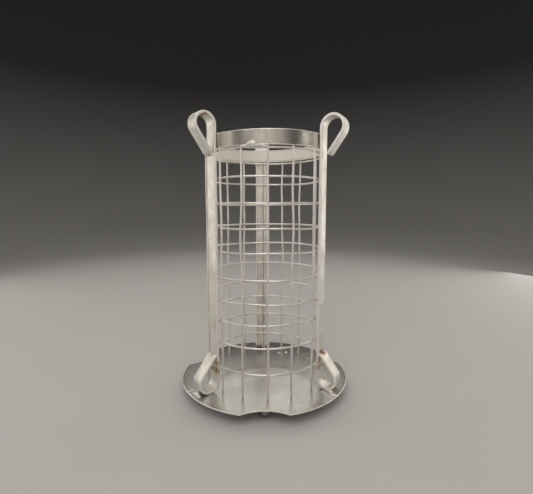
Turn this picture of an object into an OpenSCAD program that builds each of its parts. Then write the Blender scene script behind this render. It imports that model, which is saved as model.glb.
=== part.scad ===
// Lift-out rack of a disinfectant jar: a rolled welded-mesh cage on a scalloped base plate,
// held by three flat-bar legs that end in a handle loop above and a foot loop below.
// Origin: on the floor, on the cage's axis. +Z up, -Y is the front. Azimuth 0 is the front
// and grows towards the right (+X). Millimetres and degrees.

/* [Mesh cage] */
// Centre-to-centre spacing of the welded mesh
mesh_pitch = 12.7; // [11:0.1:15.5]
// Diameter of the mesh wire
wire_d = 1.06; // [0.8:0.02:1.4]
// Mesh cells round the cage
cells_round = 16; // [14:1:18]
// Hoop wires from the plate to the band
hoop_count = 10; // [8:1:11]
// Clearance between an upright wire and the hoop that it is welded to
wire_gap = 0.02; // [0.01:0.01:0.05]
// Azimuth of the first upright wire
first_upright = 2; // [0:0.5:4]
// Gap between the two upright wires at the mesh's rear seam
seam_gap = 0.3; // [0.1:0.1:0.6]

/* [Base plate] */
// Diameter of the base plate
plate_d = 96.4; // [94:0.1:116]
// Thickness of the base plate
plate_t = 0.8; // [0.6:0.1:1.5]
// How far the plate sits off the cage's axis, to the left
plate_off = 0.5; // [0:0.1:1]
// Radius of the cutter that makes the three scallops in the rim
scallop_r = 23; // [18:0.5:28]
// How deep the front, left and right scallops cut into the rim
scallop_depths = [5, 7, 5]; // [3:0.5:7]
// Azimuth of the front, left and right scallops
scallop_angles = [0, -118, 119]; // [-180:1:180]

/* [Flat bar] */
// Width of the flat bar that the band and legs are cut from
bar_w = 7.4; // [6:0.1:9]
// Thickness of the flat bar
bar_t = 1.4; // [1:0.1:2]

/* [Top band] */
// Least gap between the top hoop and the band above it
band_gap = 0.05; // [0.02:0.01:0.5]
// How far the band leans, with its right side high
band_tilt = 0.9; // [0:0.1:1.5]

/* [Legs] */
// Azimuth of the front left, front right and rear legs
leg_angles = [-51.5, 59.8, 184]; // [-180:0.1:190]
// Clearance between the band and a leg's inner face
leg_gap = 0.15; // [0.05:0.05:0.3]
// How far the handle loops rise above the band
handle_rise = 9.8; // [8:0.1:16]
// Outer radius of the bend at the head of each handle loop
handle_radii = [5.95, 6.5, 6.2]; // [5:0.05:7]
// Space between the end of each handle loop and its leg
handle_tip_gaps = [0.3, 2.2, 0.3]; // [0.2:0.1:3]
// Angle of each handle loop's tail from the leg
handle_lean = 35; // [30:1:40]
// Outer radius of the bend at the head of each foot loop
foot_radii = [6, 5.8, 5.9]; // [5:0.05:7]
// Space between the end of each foot loop and its leg
foot_tip_gap = 0.4; // [0.2:0.1:1]
// Angle of each foot loop's tail from the leg
foot_lean = 37; // [30:1:42]

/* [Ball feet] */
// Diameter of a ball foot
ball_d = 6.35; // [5:0.05:8]
// Distance of the ball feet from the cage's axis
ball_ring_r = 37; // [35:0.5:38]

/* [Weld beads] */
// Radius of the lump that ties the band to the mesh
lump_r = 2.6; // [2:0.1:3]
// Azimuth of that lump
lump_angle = -10.4; // [-14:0.1:-6]
// Azimuth at which its trailing bead ends
bead_end_angle = 2; // [-2:0.5:5]
// Radius of the trailing bead
bead_r = 0.5; // [0.4:0.05:0.7]
// Radius of the lumps that hold the foot loops down
foot_lump_r = 1.7; // [1.3:0.1:2]
// Radius of the beads under the ends of the loops
tip_bead_r = 1; // [0.7:0.1:1.3]
// Radius of the tacks between the mesh and the rear leg
tack_r = 0.8; // [0.6:0.1:1]
// Width of the weld round the top of a ball foot
collar_w = 0.6; // [0.4:0.1:0.9]

/* [Hidden] */
$fn = 64;
LEGS = [0, 1, 2];
leg_names = ["front_left_leg", "front_right_leg", "rear_leg"];
ball_names = ["front_ball_foot", "left_ball_foot", "right_ball_foot"];

// The cage was rolled and welded by hand: each hoop sits this far above its even place, top
// hoop first, and each upright stands this far round from its own, front wire first.
hoop_drift = [-0.2, -1, -1.3, -1.3, -1, -1.8, -1.6, 0.4, 1.2, -0.2, 0];
upright_drift = [0.3, -0.6, 1.6, 0, 0.5, 0, 1.2, 0.9, 0, 0, -1.2, 0, 0, 0.4, 0.3, 0, 0, 0];

plate_z = ball_d;
plate_top = plate_z + plate_t;

wire_r = wire_d / 2;
cage_r = cells_round * mesh_pitch / (2 * PI);
upright_r = cage_r + wire_d + wire_gap;
cell_angle = 360 / cells_round;
// How far the uprights run on past the top hoop, and how far short they stop of band and plate.
wire_stub = 0.45;
wire_end_gap = 0.05;

// The mesh's first and last upright wires lie side by side at the rear seam.
seam_wire = floor(cells_round / 2) + 1;
seam_angle = first_upright + (seam_wire - 1) * cell_angle;
seam_half_angle = (wire_d + seam_gap) / 2 / upright_r * 180 / PI;
hoop_end_angle = seam_gap / cage_r * 180 / PI;
upright_count = cells_round + 1;

band_or = upright_r + wire_r;
band_ir = band_or - bar_t;
hoop_top = hoop_z(1) + wire_r;
band_z = hoop_top + band_gap + band_or * sin(band_tilt);
band_top = band_z + bar_w;

leg_r = band_or + leg_gap;
handle_top = band_top + handle_rise;

// Straight steps that make up the round of each bend in a leg.
bend_steps = 40;

// How far a cutter runs past what it cuts.
overcut = 1;

// Weld metal stops short of the band's outer face by this much where it only lies against it.
weld_gap = 0.1;
// How much of the bar's width a bead at a loop's end covers.
tip_bead_w = 0.7 * bar_w;
// How far the lump that ties the band to the mesh is centred inside the band's outer face.
lump_sink = lump_r / 4;
// Where the lumps at each foot loop lie: leg, distance out from its inner face, place across it.
foot_lumps = [[0, 11.4, 1.1], [0, 11.6, -3.6], [1, 9, 4.4], [2, 9.6, 4.5]];
// Legs whose handle loop is welded shut at its end.
shut_handles = [0, 2];
// Hoops, counted from the top, that are tacked to the rear leg, and the tacks' lead in degrees
// past the seam's second wire.
tacked_hoops = [3, 6, 9];
tack_lead = 2;

function numbered(name, i) = str(name, i < 10 ? "_0" : "_", i);

function hoop_z(i) = plate_top + (hoop_count + 1 - i) * mesh_pitch + hoop_drift[i - 1];

// Height of the leaning band's lower face at an azimuth and radius.
function band_under(a, r) = band_z + r * sin(a) * tan(band_tilt);

function upright_angle(i) =
    i == seam_wire ? seam_angle - seam_half_angle :
    i == upright_count ? seam_angle + seam_half_angle :
    first_upright + (i - 1) * cell_angle + upright_drift[i - 1];

function upright_top(i) =
    min(hoop_top + wire_stub, band_under(upright_angle(i), upright_r) - wire_end_gap);

// Length of a loop's tail, from its bend to its end beside the leg.
function tail_length(head_r, lean, tip_gap) =
    (head_r + (head_r - bar_t) * cos(lean) - bar_t - tip_gap) / sin(lean);

// How far a loop's end lies from the centre of its bend, along the leg.
function tip_drop(head_r, lean, tip_gap) =
    (head_r - bar_t) * sin(lean) + tail_length(head_r, lean, tip_gap) * cos(lean);

// Height of the centre of a handle loop's bend above the plate.
function handle_y(k) = handle_top - plate_top - handle_radii[k];

// Points along an arc about a centre.
function arc(r, centre, from, to) =
    [for (i = [0:bend_steps])
        let (a = from + (to - from) * i / bend_steps)
            centre + r * [cos(a), sin(a)]];

// A loop's outline: up from the leg's inner face at height y, over the bend, down the outside
// of the tail, round its end and back along the inside to the leg's outer face.
function loop_outline(head_r, lean, tip_gap, y) =
    let (centre = [head_r, y],
         across = [cos(lean), -sin(lean)],
         end = centre - tail_length(head_r, lean, tip_gap) * [sin(lean), cos(lean)])
        concat(
            arc(head_r, centre, 180, -lean),
            [end + head_r * across, end + (head_r - bar_t) * across],
            arc(head_r - bar_t, centre, -lean, 180)
        );

// The same outline upside down, walked the other way.
function turned_over(points) =
    [for (i = [len(points) - 1:-1:0]) [points[i].x, -points[i].y]];

// Turns +X of the children to an azimuth.
module at_azimuth(a) {
    rotate([0, 0, a - 90]) children();
}

// Stands a profile drawn in X (outwards) and Y (up) on end, with Z across it.
module stand() {
    rotate([90, 0, 0]) children();
}

module base_plate() {
    color("silver")
    difference() {
        translate([-plate_off, 0, plate_z])
            cylinder(d = plate_d, h = plate_t, $fn = 180);
        for (k = LEGS)
            at_azimuth(scallop_angles[k])
                translate([plate_d / 2 - scallop_depths[k] + scallop_r, 0, plate_z - overcut])
                    cylinder(r = scallop_r, h = plate_t + 2 * overcut, $fn = 120);
    }
}

module top_band() {
    color("darkgray")
    translate([0, 0, band_z])
        rotate([0, -band_tilt, 0])
            difference() {
                cylinder(r = band_or, h = bar_w, $fn = 180);
                translate([0, 0, -overcut])
                    cylinder(r = band_ir, h = bar_w + 2 * overcut, $fn = 180);
            }
}

// Leg k in its own plane: X outwards from its inner face, Y up from the plate, Z across.
module leg_bar(k) {
    handle = loop_outline(handle_radii[k], handle_lean, handle_tip_gaps[k], handle_y(k));
    foot = loop_outline(foot_radii[k], foot_lean, foot_tip_gap, -foot_radii[k]);
    translate([0, 0, -bar_w / 2])
        linear_extrude(height = bar_w)
            polygon(concat(handle, turned_over(foot)));
}

module on_leg(k) {
    at_azimuth(leg_angles[k])
        translate([leg_r, 0, plate_top])
            stand() children();
}

module leg(k) {
    color("gainsboro")
    on_leg(k) leg_bar(k);
}

// An open ring: its two ends meet at the mesh's rear seam.
module hoop_wire(i) {
    color("lightgray")
    translate([0, 0, hoop_z(i)])
        at_azimuth(seam_angle + hoop_end_angle / 2)
            rotate_extrude(angle = 360 - hoop_end_angle, $fn = 120)
                translate([cage_r, 0]) circle(r = wire_r, $fn = 24);
}

module upright_wire(i) {
    foot_z = plate_top + wire_end_gap;
    color("lightgray")
    at_azimuth(upright_angle(i))
        translate([upright_r, 0, foot_z])
            cylinder(r = wire_r, h = upright_top(i) - foot_z, $fn = 24);
}

module ball_foot(k) {
    color("whitesmoke")
    at_azimuth(scallop_angles[k])
        translate([ball_ring_r, 0, ball_d / 2]) sphere(d = ball_d);
}

// A lump with a bead that runs on to its right, both against the outside of the band.
module band_weld() {
    under = band_under(lump_angle, band_or);
    bead_out = band_or + weld_gap + bead_r;
    color("tan") {
        difference() {
            at_azimuth(lump_angle)
                translate([band_or - lump_sink, 0, under]) sphere(r = lump_r);
            translate([0, 0, under - 2 * lump_r])
                cylinder(r = band_or + weld_gap, h = 4 * lump_r, $fn = 180);
        }
        translate([0, 0, under])
            at_azimuth(lump_angle)
                rotate_extrude(angle = bead_end_angle - lump_angle, $fn = 120)
                    translate([bead_out, 0]) circle(r = bead_r, $fn = 24);
    }
}

// A bead across leg k at height y, in the corner between the leg and the end of a loop.
module tip_bead(k, y) {
    on_leg(k)
        difference() {
            translate([bar_t, y, -tip_bead_w / 2])
                cylinder(r = tip_bead_r, h = tip_bead_w, $fn = 32);
            leg_bar(k);
        }
}

module handle_welds() {
    color("tan")
    for (k = shut_handles)
        tip_bead(k, handle_y(k) - tip_bead_r / 2
            - tip_drop(handle_radii[k], handle_lean, handle_tip_gaps[k]));
}

module foot_tip_welds() {
    color("tan")
    for (k = LEGS)
        tip_bead(k, foot_radii[k] + tip_bead_r / 2
            + tip_drop(foot_radii[k], foot_lean, foot_tip_gap));
}

// Lumps on the plate against the underside of each foot loop's bend.
module foot_welds() {
    color("tan")
    for (lump = foot_lumps)
        on_leg(lump[0])
            difference() {
                translate([lump[1], 0, lump[2]]) sphere(r = foot_lump_r, $fn = 32);
                translate([-foot_lump_r, -2 * foot_lump_r, -bar_w * 2])
                    cube([lump[1] * 2, 2 * foot_lump_r, bar_w * 4]);
                leg_bar(lump[0]);
            }
}

// Tacks that hold hoops to the rear leg's inner face, beside the seam wires.
module mesh_tacks() {
    tack_angle = seam_angle + 2 * seam_half_angle + tack_lead;
    color("tan")
    for (i = tacked_hoops)
        difference() {
            at_azimuth(tack_angle)
                translate([upright_r, 0, hoop_z(i)]) sphere(r = tack_r, $fn = 32);
            hoop_wire(i);
            leg(2);
        }
}

// A weld round the top of each ball, against the plate's underside.
module ball_foot_welds() {
    collar_r = collar_w + sqrt(pow(ball_d / 2, 2) - pow(ball_d / 2 - collar_w, 2));
    color("tan")
    for (k = LEGS)
        at_azimuth(scallop_angles[k])
            translate([ball_ring_r, 0, 0])
                difference() {
                    translate([0, 0, plate_z - collar_w]) cylinder(r = collar_r, h = collar_w);
                    translate([0, 0, ball_d / 2]) sphere(d = ball_d);
                }
}

base_plate();
top_band();
for (k = LEGS) leg(k);
for (i = [1:hoop_count]) hoop_wire(i);
for (i = [1:upright_count])
    upright_wire(i);
for (k = LEGS) ball_foot(k);
band_weld();
handle_welds();
foot_tip_welds();
foot_welds();
mesh_tacks();
ball_foot_welds();
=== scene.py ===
"""Looks of the lift-out rack of a disinfectant jar: a hand-welded steel mesh cage on ball feet.

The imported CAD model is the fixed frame. Each class below takes its places from that frame, builds
the pieces that a maker would recognise, and dresses them in steel. Metres throughout; sizes that
are easier to read in millimetres are multiplied by MM. Azimuth 0 is the front (-Y) and grows
towards the right (+X).
"""

import logging
import math
import random
from dataclasses import dataclass, field
from enum import Enum

import bmesh
import bpy
from mathutils import Matrix, Vector, kdtree, noise


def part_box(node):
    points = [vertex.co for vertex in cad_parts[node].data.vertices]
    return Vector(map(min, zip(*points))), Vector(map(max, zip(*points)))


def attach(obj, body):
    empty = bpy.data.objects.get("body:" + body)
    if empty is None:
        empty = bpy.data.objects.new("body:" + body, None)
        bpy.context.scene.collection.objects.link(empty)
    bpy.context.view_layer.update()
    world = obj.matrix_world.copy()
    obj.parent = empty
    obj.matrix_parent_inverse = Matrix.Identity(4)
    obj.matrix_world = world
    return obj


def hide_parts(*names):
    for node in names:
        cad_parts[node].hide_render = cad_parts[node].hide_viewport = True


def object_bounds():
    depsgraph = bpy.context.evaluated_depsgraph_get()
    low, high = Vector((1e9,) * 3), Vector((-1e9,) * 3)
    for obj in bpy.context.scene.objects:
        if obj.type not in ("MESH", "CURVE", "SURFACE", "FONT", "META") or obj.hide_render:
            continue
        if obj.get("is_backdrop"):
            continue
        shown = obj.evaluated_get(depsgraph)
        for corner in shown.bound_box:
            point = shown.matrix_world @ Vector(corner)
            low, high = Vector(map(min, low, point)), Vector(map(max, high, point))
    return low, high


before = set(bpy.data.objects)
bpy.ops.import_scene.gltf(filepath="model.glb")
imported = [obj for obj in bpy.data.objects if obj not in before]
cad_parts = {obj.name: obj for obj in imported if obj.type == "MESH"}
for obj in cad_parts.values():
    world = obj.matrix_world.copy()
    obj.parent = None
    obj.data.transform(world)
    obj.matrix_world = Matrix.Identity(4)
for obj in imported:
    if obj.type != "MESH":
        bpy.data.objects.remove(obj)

LOG = logging.getLogger("rack")
MM = 0.001
BODY = "root"
CREASE = 50
LAY_SCALE = 10
WIRE_SIDES = 12
WIRE_END_SHARE = 0.72
BALL_NODES = ("front_ball_foot", "left_ball_foot", "right_ball_foot")
Colour = tuple[float, float, float]


class Slot(Enum):
    """The record's material slots."""

    PLATE = "plate_sheet"
    BAND = "band_bar"
    LEG = "leg_bar"
    WIRE = "mesh_wire"
    BALL = "ball_steel"
    WELD = "weld_metal"


class Lay(Enum):
    """Which way a steel surface was worked."""

    BRUSHED = "long parallel lines"
    DRAWN = "faint lines along a wire"
    CAST = "no lines, only grit"


# Places and small shared sums ---------------------------------------------------------------


def polar(radius: float, azimuth: float, z: float) -> Vector:
    """The point at a radius, azimuth in degrees and height.

    Args:
        radius: distance from the cage's axis.
        azimuth: degrees from the front towards the right.
        z: height.

    Returns:
        The point in the frame.
    """
    a = math.radians(azimuth)
    return Vector((radius * math.sin(a), -radius * math.cos(a), z))


def azimuth_of(point: Vector) -> float:
    """The azimuth of a point, in degrees."""
    return math.degrees(math.atan2(point.x, -point.y))


def middle_of(node: str) -> Vector:
    """The mean of a CAD node's vertices.

    Args:
        node: the node's name.

    Returns:
        Its mean vertex, which lies in the plane of symmetry of a symmetrical node.
    """
    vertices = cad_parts[node].data.vertices
    return sum((v.co for v in vertices), Vector()) / len(vertices)


def nodes_named(stem: str) -> list[str]:
    """The CAD nodes whose names start with stem, in order."""
    return sorted(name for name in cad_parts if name.startswith(stem))


def smooth_step(t: float) -> float:
    """An even ease from 0 to 1."""
    t = min(max(t, 0.0), 1.0)
    return t * t * (3 - 2 * t)


@dataclass(frozen=True)
class Sway:
    """A small smooth wander, the same on every run, made of a few waves.

    Attributes:
        size: root mean square of the wander.
        waves: how many waves are added up.
        seed: picks the wander.
    """

    size: float
    waves: int
    seed: int

    def at(self, turn: float) -> float:
        """The wander at a place.

        Args:
            turn: place along the piece in radians; the wander repeats after a full turn.

        Returns:
            The offset, in the units of size.
        """
        draw = random.Random(self.seed)
        each = self.size * math.sqrt(2 / self.waves)
        return sum(
            each * math.sin((k + 1) * turn + draw.uniform(0, 2 * math.pi))
            for k in range(self.waves)
        )


# Heat tint from welding, and the painted shade carried with it -----------------------------


@dataclass(frozen=True)
class HeatSource:
    """A place that got hot, or a place given painted shade.

    Attributes:
        centre: the point where its tint is strongest.
        reach: how far the tint spreads.
        strength: 0 for none to 1 for burnt, and more for a centre that lies off the metal.
    """

    centre: Vector
    reach: float
    strength: float


@dataclass
class HeatMap:
    """All the places that welding heated, and the places given painted shade, asked point by point.

    Attributes:
        sources: the heated places and the places of painted shade.
    """

    sources: list[HeatSource] = field(default_factory=list)

    def add(self, centre: Vector, reach: float, strength: float) -> None:
        """Notes one heated place, or one place of painted shade."""
        self.sources.append(HeatSource(centre.copy(), reach, strength))

    def settle(self) -> None:
        """Sorts the sources for quick asking, once they are all in."""
        self._tree = kdtree.KDTree(len(self.sources))
        for i, source in enumerate(self.sources):
            self._tree.insert(source.centre, i)
        self._tree.balance()
        self._widest = 2.2 * max(s.reach for s in self.sources)

    def at(self, point: Vector) -> float:
        """How hot a point became, with painted shade counted in the same share.

        Args:
            point: a point on the metal.

        Returns:
            A share from 0 to 1.
        """
        strongest = 0.0
        for _, i, gap in self._tree.find_range(point, self._widest):
            source = self.sources[i]
            strongest = max(strongest, source.strength * math.exp(-((gap / source.reach) ** 2)))
        return strongest


# Meshes -------------------------------------------------------------------------------------


@dataclass
class Skin:
    """A mesh being gathered, with what the finishes read at each vertex.

    Attributes:
        points: vertex positions.
        places: for each vertex, how far it is along, across and through the metal.
        edges: for each vertex, 1 on a cut edge and 0 on an open face; the finishes paint cut edges
            bright, partly as painted highlight, with a painted shade line just inside.
        faces: vertex numbers of each face.
    """

    points: list[Vector] = field(default_factory=list)
    places: list[Vector] = field(default_factory=list)
    edges: list[float] = field(default_factory=list)
    faces: list[tuple[int, ...]] = field(default_factory=list)

    def ring(self, rows: list[tuple[Vector, Vector, float]]) -> list[int]:
        """Adds vertices.

        Args:
            rows: a point, its place in the metal and its edge value, for each vertex.

        Returns:
            The new vertices' numbers.
        """
        first = len(self.points)
        for point, place, edge in rows:
            self.points.append(point)
            self.places.append(place)
            self.edges.append(edge)
        return list(range(first, len(self.points)))

    def bridge(self, lower: list[int], upper: list[int]) -> None:
        """Joins two rings of as many vertices with quads."""
        for i in range(len(lower)):
            j = (i + 1) % len(lower)
            self.faces.append((lower[i], lower[j], upper[j], upper[i]))

    def tube(self, rings: list[list[int]]) -> None:
        """Joins rings in their order and closes both ends with one face each."""
        for lower, upper in zip(rings, rings[1:]):
            self.bridge(lower, upper)
        self.faces.append(tuple(reversed(rings[0])))
        self.faces.append(tuple(rings[-1]))

    def build(self, name: str, heat_and_shade: HeatMap) -> bpy.types.Object:
        """Makes the object.

        Args:
            name: the piece's name.
            heat_and_shade: where the metal was welded, and where painted shade falls.

        Returns:
            The object, with its attributes set and its faces turned outwards.
        """
        mesh = bpy.data.meshes.new(name)
        mesh.from_pydata(self.points, [], self.faces)
        stamp(mesh, self.places, self.edges, heat_and_shade)
        tidy = bmesh.new()
        tidy.from_mesh(mesh)
        bmesh.ops.recalc_face_normals(tidy, faces=tidy.faces)
        tidy.to_mesh(mesh)
        tidy.free()
        return show(name, mesh)


def stamp(
    mesh: bpy.types.Mesh, places: list[Vector], edges: list[float], heat_and_shade: HeatMap
) -> None:
    """Writes what the finishes read onto a mesh's vertices.

    Args:
        mesh: the mesh.
        places: along, across and through, for each vertex.
        edges: cut-edge share, for each vertex.
        heat_and_shade: where the metal was welded, and where painted shade falls.
    """
    place = mesh.attributes.new("place", "FLOAT_VECTOR", "POINT")
    place.data.foreach_set("vector", [c for p in places for c in p])
    edge = mesh.attributes.new("edge", "FLOAT", "POINT")
    edge.data.foreach_set("value", edges)
    scorch_and_shade_layer = mesh.attributes.new("scorch_and_shade", "FLOAT", "POINT")
    scorch_and_shade_layer.data.foreach_set("value", [heat_and_shade.at(v.co) for v in mesh.vertices])


def stamp_plain(mesh: bpy.types.Mesh, heat_and_shade: HeatMap) -> None:
    """Stamps a mesh that has no cut edges and whose place is simply where it lies.

    Args:
        mesh: the mesh.
        heat_and_shade: where the metal was welded, and where painted shade falls.
    """
    stamp(mesh, [v.co.copy() for v in mesh.vertices], [0.0] * len(mesh.vertices), heat_and_shade)


def lumps(name: str, shapes: list[Matrix], subdivisions: int) -> bpy.types.Mesh:
    """Gathers round lumps in one mesh.

    Args:
        name: the mesh's name.
        shapes: places, turns and half-sizes of the lumps.
        subdivisions: how finely each is rounded.

    Returns:
        The mesh, with each lump a closed shell.
    """
    gathered = bmesh.new()
    for shape in shapes:
        bmesh.ops.create_icosphere(gathered, subdivisions=subdivisions, radius=1, matrix=shape)
    mesh = bpy.data.meshes.new(name)
    gathered.to_mesh(mesh)
    gathered.free()
    return mesh


def show(name: str, mesh: bpy.types.Mesh) -> bpy.types.Object:
    """Puts a mesh in the scene with smooth shading up to a crisp angle.

    Args:
        name: the piece's name.
        mesh: its mesh.

    Returns:
        The object.
    """
    mesh.shade_smooth()
    mesh.set_sharp_from_angle(angle=math.radians(CREASE))
    piece = bpy.data.objects.new(name, mesh)
    bpy.context.scene.collection.objects.link(piece)
    return piece


# Shader groups ------------------------------------------------------------------------------

# How finely each pattern is drawn, as Blender's texture scale over places in metres.
PATCH_SCALE = 95.0
DROP_SCALE = 420.0
TINT_SCALE = 600.0
RAGGED_SCALE = 900.0
# How much coarser the broad lines of a brushed face are than its fine ones.
BROAD_LINES = 0.23


class Sheet:
    """A node tree being laid out, left to right."""

    def __init__(self, tree: bpy.types.NodeTree) -> None:
        """Takes an empty tree."""
        self.tree = tree
        self.column = 0

    def node(self, kind: str, **settings: object) -> bpy.types.Node:
        """Adds a node.

        Args:
            kind: the node's Blender type.
            settings: attributes to set on it.

        Returns:
            The node.
        """
        made = self.tree.nodes.new(kind)
        made.location = (self.column * 180, 0)
        self.column += 1
        for name, value in settings.items():
            setattr(made, name, value)
        return made

    def join(self, source: bpy.types.NodeSocket, target: bpy.types.NodeSocket) -> None:
        """Links two sockets."""
        self.tree.links.new(source, target)

    def sum(
        self, operation: str, first: bpy.types.NodeSocket, second: bpy.types.NodeSocket | float
    ) -> bpy.types.NodeSocket:
        """Adds a Math node.

        Args:
            operation: its operation.
            first: what feeds its first input.
            second: what feeds its second input, or that input's value.

        Returns:
            Its output.
        """
        made = self.node("ShaderNodeMath", operation=operation)
        self.join(first, made.inputs[0])
        if isinstance(second, (int, float)):
            made.inputs[1].default_value = second
        else:
            self.join(second, made.inputs[1])
        return made.outputs[0]

    def spread(
        self, source: bpy.types.NodeSocket, low: float, high: float, to: tuple[float, float]
    ) -> bpy.types.NodeSocket:
        """Adds a Map Range node.

        Args:
            source: the value.
            low: what maps to the first of to.
            high: what maps to the second of to.
            to: the new range.

        Returns:
            Its output, held inside the new range.
        """
        made = self.node("ShaderNodeMapRange")
        self.join(source, made.inputs["Value"])
        for socket, value in (
            ("From Min", low),
            ("From Max", high),
            ("To Min", to[0]),
            ("To Max", to[1]),
        ):
            made.inputs[socket].default_value = value
        return made.outputs["Result"]

    def blend(
        self,
        share: bpy.types.NodeSocket,
        under: bpy.types.NodeSocket | Colour,
        over: bpy.types.NodeSocket | Colour,
    ) -> bpy.types.NodeSocket:
        """Adds a colour Mix node.

        Args:
            share: how much of over shows.
            under: the colour, or its socket, at share 0.
            over: the colour, or its socket, at share 1.

        Returns:
            The mixed colour.
        """
        made = self.node("ShaderNodeMix", data_type="RGBA")
        self.join(share, made.inputs[0])
        for socket, value in ((made.inputs[6], under), (made.inputs[7], over)):
            if isinstance(value, tuple):
                socket.default_value = (*value, 1)
            else:
                self.join(value, socket)
        return made.outputs[2]

    def texture(
        self, kind: str, vector: bpy.types.NodeSocket, scale: float, **inputs: float
    ) -> bpy.types.Node:
        """Adds a texture node.

        Args:
            kind: its Blender type.
            vector: its coordinates.
            scale: its scale.
            inputs: other inputs by name.

        Returns:
            The node.
        """
        made = self.node(kind)
        self.join(vector, made.inputs["Vector"])
        made.inputs["Scale"].default_value = scale
        for name, value in inputs.items():
            made.inputs[name].default_value = value
        return made


class ShaderGroups:
    """The effects that several finishes share, each built once as a node group."""

    def __init__(self) -> None:
        """Builds every group."""
        self.grain = self._grain()
        self.marks = self._marks()
        self.grit = self._grit()
        self.edge_highlight_and_shade = self._edge_highlight_and_shade()
        self.heat_tint_and_shade = self._heat_tint_and_shade()

    @staticmethod
    def _start(
        name: str, inputs: list[tuple[str, str, float]], outputs: list[tuple[str, str]]
    ) -> tuple[bpy.types.NodeTree, Sheet, bpy.types.Node, bpy.types.Node]:
        """Opens a new group.

        Args:
            name: the group's name.
            inputs: each input's name, socket kind and default for a float.
            outputs: each output's name and socket kind.

        Returns:
            The group, its sheet, its input node and its output node.
        """
        group = bpy.data.node_groups.new(name, "ShaderNodeTree")
        for label, kind, default in inputs:
            socket = group.interface.new_socket(label, in_out="INPUT", socket_type=kind)
            if kind == "NodeSocketFloat":
                socket.default_value = default
        for label, kind in outputs:
            group.interface.new_socket(label, in_out="OUTPUT", socket_type=kind)
        sheet = Sheet(group)
        return group, sheet, sheet.node("NodeGroupInput"), sheet.node("NodeGroupOutput")

    def _grain(self) -> bpy.types.NodeTree:
        """Fine lines along the metal, from place, with how long and how wide they are."""
        group, sheet, source, out = self._start(
            "brushed_lines",
            [
                ("Place", "NodeSocketVector", 0),
                ("Length", "NodeSocketFloat", 0.02),
                ("Width", "NodeSocketFloat", 0.0002),
            ],
            [("Lines", "NodeSocketFloat"), ("Height", "NodeSocketFloat")],
        )
        parts = sheet.node("ShaderNodeSeparateXYZ")
        sheet.join(source.outputs["Place"], parts.inputs[0])
        scaled = sheet.node("ShaderNodeCombineXYZ")
        sheet.join(sheet.sum("DIVIDE", parts.outputs[0], source.outputs["Length"]), scaled.inputs[0])
        for axis in (1, 2):
            across = sheet.sum("DIVIDE", parts.outputs[axis], source.outputs["Width"])
            sheet.join(across, scaled.inputs[axis])
        fine = sheet.texture("ShaderNodeTexNoise", scaled.outputs[0], 1.0, Detail=3.0)
        coarse = sheet.texture("ShaderNodeTexNoise", scaled.outputs[0], BROAD_LINES, Detail=2.0)
        both = sheet.sum("ADD", fine.outputs[0], coarse.outputs[0])
        lines = sheet.spread(both, 0.72, 1.28, (0.0, 1.0))
        sheet.join(lines, out.inputs["Lines"])
        sheet.join(both, out.inputs["Height"])
        return group

    def _marks(self) -> bpy.types.NodeTree:
        """Broad patches left by hands, water and wiping."""
        group, sheet, source, out = self._start(
            "handling_marks",
            [("Place", "NodeSocketVector", 0)],
            [("Patches", "NodeSocketFloat"), ("Spots", "NodeSocketFloat")],
        )
        broad = sheet.texture(
            "ShaderNodeTexNoise", source.outputs["Place"], PATCH_SCALE, Detail=4.0, Distortion=0.6
        )
        sheet.join(sheet.spread(broad.outputs[0], 0.36, 0.66, (0.0, 1.0)), out.inputs["Patches"])
        drops = sheet.texture("ShaderNodeTexVoronoi", source.outputs["Place"], DROP_SCALE)
        sheet.join(sheet.spread(drops.outputs[0], 0.10, 0.24, (1.0, 0.0)), out.inputs["Spots"])
        return group

    def _grit(self) -> bpy.types.NodeTree:
        """Fine speckle and the bumps that make it."""
        group, sheet, source, out = self._start(
            "speckle",
            [("Place", "NodeSocketVector", 0), ("Size", "NodeSocketFloat", 0.0003)],
            [("Speckle", "NodeSocketFloat"), ("Height", "NodeSocketFloat")],
        )
        size = sheet.node("ShaderNodeVectorMath", operation="SCALE")
        sheet.join(source.outputs["Place"], size.inputs[0])
        one = sheet.node("ShaderNodeMath", operation="DIVIDE")
        one.inputs[0].default_value = 1.0
        sheet.join(source.outputs["Size"], one.inputs[1])
        sheet.join(one.outputs[0], size.inputs["Scale"])
        grains = sheet.texture("ShaderNodeTexNoise", size.outputs[0], 1.0, Detail=5.0, Roughness=0.7)
        sheet.join(sheet.spread(grains.outputs[0], 0.38, 0.64, (0.0, 1.0)), out.inputs["Speckle"])
        sheet.join(grains.outputs[0], out.inputs["Height"])
        return group

    def _edge_highlight_and_shade(self) -> bpy.types.NodeTree:
        """Bright edges, partly real sheared metal and partly painted highlight, with a painted shade
        line just inside them.
        """
        group, sheet, source, out = self._start(
            "edge_highlight_and_shade",
            [("Edge", "NodeSocketFloat", 0), ("Place", "NodeSocketVector", 0)],
            [("Bright", "NodeSocketFloat"), ("Shade_line", "NodeSocketFloat")],
        )
        place = source.outputs["Place"]
        ragged = sheet.texture("ShaderNodeTexNoise", place, RAGGED_SCALE, Detail=3.0)
        shift = sheet.spread(ragged.outputs[0], 0.3, 0.7, (-0.16, 0.16))
        edge = sheet.sum("ADD", source.outputs["Edge"], shift)
        sheet.join(sheet.spread(edge, 0.55, 0.8, (0.0, 1.0)), out.inputs["Bright"])
        rise = sheet.spread(edge, 0.28, 0.42, (0.0, 1.0))
        fall = sheet.spread(edge, 0.48, 0.6, (1.0, 0.0))
        sheet.join(sheet.sum("MULTIPLY", rise, fall), out.inputs["Shade_line"])
        return group

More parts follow.
